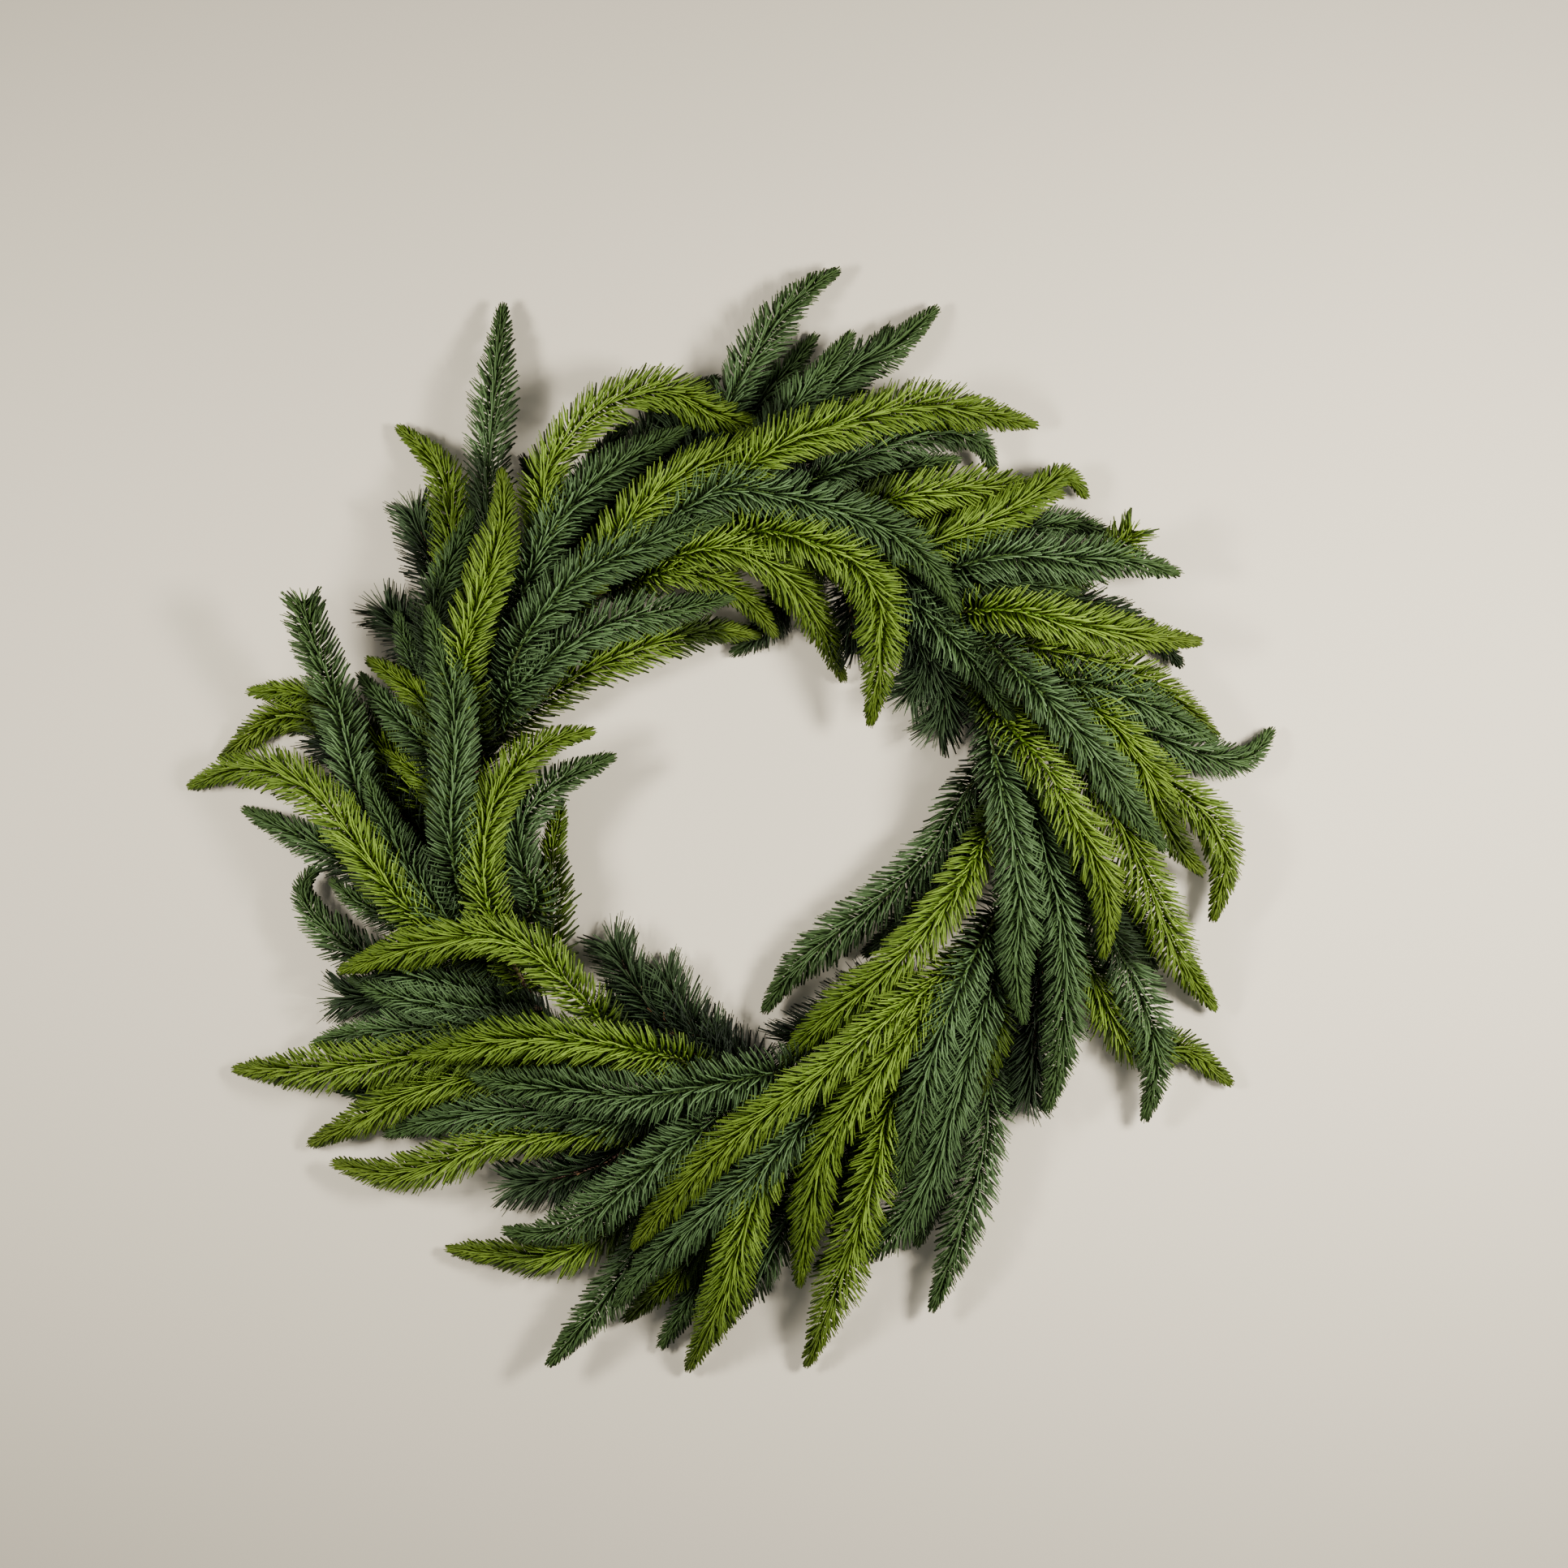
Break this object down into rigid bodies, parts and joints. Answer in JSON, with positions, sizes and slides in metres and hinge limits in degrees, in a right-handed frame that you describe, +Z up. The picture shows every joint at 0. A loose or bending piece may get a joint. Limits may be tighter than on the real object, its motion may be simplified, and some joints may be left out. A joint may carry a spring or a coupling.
{
  "type": "evergreen wreath",
  "caption": "Round evergreen wreath of long needle sprays in two greens on a hidden wire ring, lying face up on a flat surface.",
  "frame": {"origin": "middle of the footprint on the surface that the wreath lies on", "axes": "+Z up out of the wreath's face; +X towards three o'clock and +Y towards twelve o'clock as the picture shows it"},
  "size_m": [0.611, 0.6158, 0.0774],
  "materials": {
    "ring_wire": "satin dark green enamel",
    "light_needles": "waxy yellow-green needles on mauve-brown stems",
    "dark_needles": "waxy blue-green needles on mauve-brown stems",
    "pine_needles": "matte very dark green straight needles on brown stems"
  },
  "bodies": {
    "root": {"wire_ring": "ring_wire", "light_01": "light_needles", "light_02": "light_needles", "light_03": "light_needles", "light_04": "light_needles", "light_05": "light_needles", "light_06": "light_needles", "light_07": "light_needles", "light_08": "light_needles", "light_09": "light_needles", "light_10": "light_needles", "light_11": "light_needles", "light_12": "light_needles", "light_13": "light_needles", "light_14": "light_needles", "light_15": "light_needles", "light_16": "light_needles", "light_17": "light_needles", "light_18": "light_needles", "light_19": "light_needles", "light_20": "light_needles", "light_21": "light_needles", "light_22": "light_needles", "light_23": "light_needles", "dark_01": "dark_needles", "dark_02": "dark_needles", "dark_03": "dark_needles", "dark_04": "dark_needles", "dark_05": "dark_needles", "dark_06": "dark_needles", "dark_07": "dark_needles", "dark_08": "dark_needles", "dark_09": "dark_needles", "dark_10": "dark_needles", "dark_11": "dark_needles", "dark_12": "dark_needles", "dark_13": "dark_needles", "dark_14": "dark_needles", "dark_15": "dark_needles", "dark_16": "dark_needles", "dark_17": "dark_needles", "dark_18": "dark_needles", "dark_19": "dark_needles", "dark_20": "dark_needles", "dark_21": "dark_needles", "dark_22": "dark_needles", "dark_23": "dark_needles", "dark_24": "dark_needles", "dark_25": "dark_needles", "dark_26": "dark_needles", "pine_01": "pine_needles", "pine_02": "pine_needles", "pine_03": "pine_needles", "pine_04": "pine_needles", "pine_05": "pine_needles", "pine_06": "pine_needles", "pine_07": "pine_needles", "pine_08": "pine_needles", "pine_09": "pine_needles"}
  },
  "joints": []
}
